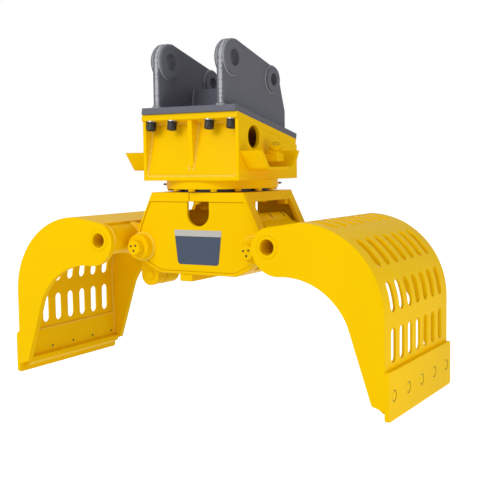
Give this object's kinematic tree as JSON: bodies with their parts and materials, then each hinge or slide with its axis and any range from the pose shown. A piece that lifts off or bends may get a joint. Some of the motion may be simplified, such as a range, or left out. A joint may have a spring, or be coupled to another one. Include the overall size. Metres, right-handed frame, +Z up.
{
  "type": "sorting grapple",
  "caption": "Hydraulic sorting grapple: two slotted shells joined by a tie rod and a level cylinder, hung under a slewing head with two pin-on ears.",
  "frame": {"origin": "on the slew axis, level with the tips of the cutting edges", "axes": "+X the opening direction of the right shell, +Y along the pivot pins towards the rear, +Z up along the slew axis"},
  "size_m": [1.694, 0.656, 1.349],
  "materials": {
    "yellow_paint": "semi-gloss enamel",
    "grey_paint": "satin enamel",
    "black_bolts": "blackened high-tensile steel",
    "dark_steel": "machined and greased",
    "motor_paint": "satin black",
    "pin_steel": "ground",
    "edge_bolts": "painted over",
    "chromed_rod": "polished"
  },
  "bodies": {
    "head": {"adapter_plate": "grey_paint", "adapter_ear_right": "grey_paint", "adapter_ear_left": "grey_paint", "adapter_ear_rings": "grey_paint", "adapter_cross_plate": "grey_paint", "adapter_bolts": "black_bolts", "housing_top_flange": "yellow_paint", "housing_side_right": "yellow_paint", "housing_side_left": "yellow_paint", "housing_front_panel": "yellow_paint", "housing_rear_panel": "yellow_paint", "housing_floor_plate": "yellow_paint", "port_guards": "yellow_paint", "port_fittings": "yellow_paint", "slew_outer_ring": "yellow_paint", "slew_ring_upper_bolts": "dark_steel", "slew_motor": "motor_paint", "rotary_feed_sleeve": "dark_steel"},
    "pinion": {"slew_pinion": "dark_steel"},
    "body": {"slew_inner_gear_ring": "dark_steel", "rotary_feed_core": "dark_steel", "slew_ring_lower_bolts": "dark_steel", "body_top_plate": "yellow_paint", "body_front_plate": "yellow_paint", "body_rear_plate": "yellow_paint", "body_belly_plate": "yellow_paint", "pivot_pins": "pin_steel", "pivot_pin_heads": "yellow_paint"},
    "left_shell": {"left_shell_front_cheek": "yellow_paint", "left_shell_rear_cheek": "yellow_paint", "left_shell_back_plate": "yellow_paint", "left_shell_lower_plate": "yellow_paint", "left_shell_cutting_edge": "yellow_paint", "left_shell_edge_bolts": "edge_bolts", "left_shell_tube": "yellow_paint", "left_shell_front_arm": "yellow_paint", "left_shell_rear_arm": "yellow_paint", "left_shell_tie_lug": "yellow_paint", "left_shell_hub": "yellow_paint", "left_shell_neck_cover": "yellow_paint", "left_shell_cylinder_pin": "pin_steel", "tie_pin": "yellow_paint"},
    "right_shell": {"right_shell_front_cheek": "yellow_paint", "right_shell_rear_cheek": "yellow_paint", "right_shell_back_plate": "yellow_paint", "right_shell_lower_plate": "yellow_paint", "right_shell_cutting_edge": "yellow_paint", "right_shell_edge_bolts": "edge_bolts", "right_shell_tube": "yellow_paint", "right_shell_front_arm": "yellow_paint", "right_shell_rear_arm": "yellow_paint", "right_shell_tie_lug": "yellow_paint", "right_shell_hub": "yellow_paint", "right_shell_neck_cover": "yellow_paint", "right_shell_cylinder_pin": "pin_steel"},
    "barrel": {"cylinder_barrel": "yellow_paint", "cylinder_gland": "yellow_paint"},
    "rod": {"cylinder_rod": "chromed_rod"},
    "tie_rod": {"tie_rod": "yellow_paint"}
  },
  "joints": [
    {"name": "slew", "type": "hinge", "parent": "head", "child": "body", "pos_m": [0, 0, 0.8], "axis": [0, 0, 1], "continuous": true},
    {"name": "pinion_spin", "type": "hinge", "parent": "head", "child": "pinion", "pos_m": [0, 0.12, 0.79], "axis": [0, 0, 1], "continuous": true},
    {"name": "left_shell_hinge", "type": "hinge", "parent": "body", "child": "left_shell", "pos_m": [-0.26, 0, 0.55], "axis": [0, -1, 0], "range_deg": [0, 65]},
    {"name": "right_shell_hinge", "type": "hinge", "parent": "body", "child": "right_shell", "pos_m": [0.26, 0, 0.55], "axis": [0, 1, 0], "range_deg": [0, 65]},
    {"name": "cylinder_barrel_hinge", "type": "hinge", "parent": "left_shell", "child": "barrel", "pos_m": [-0.196, 0, 0.64], "axis": [0, 1, 0], "range_deg": [0, 65]},
    {"name": "cylinder_rod_hinge", "type": "hinge", "parent": "right_shell", "child": "rod", "pos_m": [0.196, 0, 0.64], "axis": [0, -1, 0], "range_deg": [0, 65]},
    {"name": "tie_rod_hinge", "type": "hinge", "parent": "left_shell", "child": "tie_rod", "pos_m": [-0.27295, 0, 0.42467], "axis": [0, 1, 0], "range_deg": [0, 65]}
  ],
  "couplings": [
    {"joint": "pinion_spin", "follows": "slew", "ratio": 5},
    {"joint": "right_shell_hinge", "follows": "left_shell_hinge", "ratio": 1},
    {"joint": "cylinder_barrel_hinge", "follows": "left_shell_hinge", "ratio": 1},
    {"joint": "cylinder_rod_hinge", "follows": "left_shell_hinge", "ratio": 1},
    {"joint": "tie_rod_hinge", "follows": "left_shell_hinge", "ratio": 1}
  ]
}
